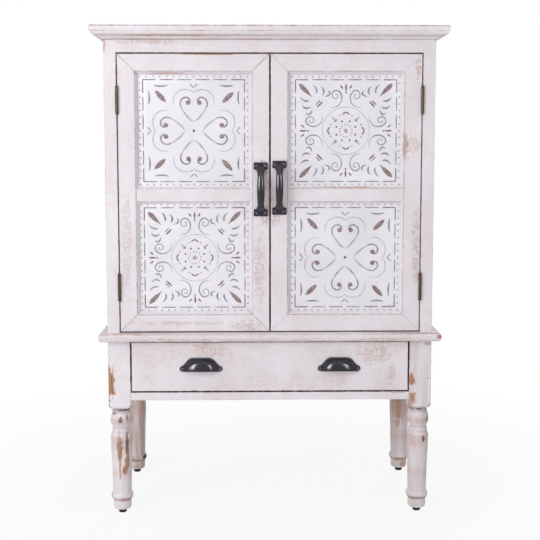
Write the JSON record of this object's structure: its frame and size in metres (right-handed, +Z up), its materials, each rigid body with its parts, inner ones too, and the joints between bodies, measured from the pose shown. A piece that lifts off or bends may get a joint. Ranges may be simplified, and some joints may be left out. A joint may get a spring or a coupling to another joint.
{
  "type": "accent cabinet",
  "caption": "Whitewashed accent cabinet: a two-door case with pressed metal panels on a moulded waist board, over a drawer with cup pulls and turned legs.",
  "frame": {"origin": "on the floor, below the middle of the overall width and depth", "axes": "+Z up, +X to the right as seen from the front, doors and drawer face -Y"},
  "size_m": [0.816, 0.381, 1.15],
  "materials": {
    "whitewashed_wood": "white wash rubbed back at the edges, matt",
    "drawer_pine": "planed, unpainted",
    "drawer_plywood": "sanded, unpainted",
    "hardboard": "smooth pressed face",
    "pressed_tin": "white paint rubbed from the raised ornament",
    "black_iron": "black lacquer, semi-gloss",
    "antique_brass": "aged",
    "zinc_steel": "zinc plated",
    "black_nylon": "moulded"
  },
  "bodies": {
    "case": {"top_board": "whitewashed_wood", "cornice": "whitewashed_wood", "case_side_left": "whitewashed_wood", "case_side_right": "whitewashed_wood", "face_stile_left": "whitewashed_wood", "face_stile_right": "whitewashed_wood", "face_top_rail": "whitewashed_wood", "case_back": "hardboard", "case_bottom": "whitewashed_wood", "door_stop_batten": "whitewashed_wood", "shelf": "whitewashed_wood", "shelf_pins": "zinc_steel", "waist_board": "whitewashed_wood", "leg_front_left": "whitewashed_wood", "leg_front_right": "whitewashed_wood", "leg_rear_left": "whitewashed_wood", "leg_rear_right": "whitewashed_wood", "side_apron_left": "whitewashed_wood", "side_apron_right": "whitewashed_wood", "back_apron": "whitewashed_wood", "front_bottom_rail": "whitewashed_wood", "foot_glides": "black_nylon", "drawer_runners": "zinc_steel", "magnetic_catches": "black_nylon", "hinge_frame_leaves_left": "antique_brass", "hinge_frame_leaves_right": "antique_brass", "hinge_pins": "antique_brass"},
    "door_left": {"door_left_hinge_stile": "whitewashed_wood", "door_left_meeting_stile": "whitewashed_wood", "door_left_top_rail": "whitewashed_wood", "door_left_bottom_rail": "whitewashed_wood", "door_left_mid_rail": "whitewashed_wood", "door_left_panel_upper": "pressed_tin", "door_left_panel_lower": "pressed_tin", "door_left_backboard": "hardboard", "door_left_pull": "black_iron", "door_left_pull_screws": "black_iron", "door_left_strike_plate": "zinc_steel", "door_left_hinge_leaves": "antique_brass"},
    "door_right": {"door_right_hinge_stile": "whitewashed_wood", "door_right_meeting_stile": "whitewashed_wood", "door_right_top_rail": "whitewashed_wood", "door_right_bottom_rail": "whitewashed_wood", "door_right_mid_rail": "whitewashed_wood", "door_right_panel_upper": "pressed_tin", "door_right_panel_lower": "pressed_tin", "door_right_backboard": "hardboard", "door_right_pull": "black_iron", "door_right_pull_screws": "black_iron", "door_right_strike_plate": "zinc_steel", "door_right_hinge_leaves": "antique_brass"},
    "drawer": {"drawer_front": "whitewashed_wood", "drawer_side_left": "drawer_pine", "drawer_side_right": "drawer_pine", "drawer_back": "drawer_pine", "drawer_bottom": "drawer_plywood", "cup_pull_left": "black_iron", "cup_pull_right": "black_iron", "cup_pull_screws": "black_iron", "drawer_slide_rails": "zinc_steel"}
  },
  "joints": [
    {"name": "door_left_hinge", "type": "hinge", "parent": "case", "child": "door_left", "pos_m": [-0.35125, -0.163, 0.766], "axis": [0, 0, -1], "range_deg": [0, 170]},
    {"name": "door_right_hinge", "type": "hinge", "parent": "case", "child": "door_right", "pos_m": [0.35125, -0.163, 0.766], "axis": [0, 0, 1], "range_deg": [0, 170]},
    {"name": "drawer_slide", "type": "slide", "parent": "case", "child": "drawer", "axis": [0, -1, 0], "range_m": [0, 0.225]}
  ]
}
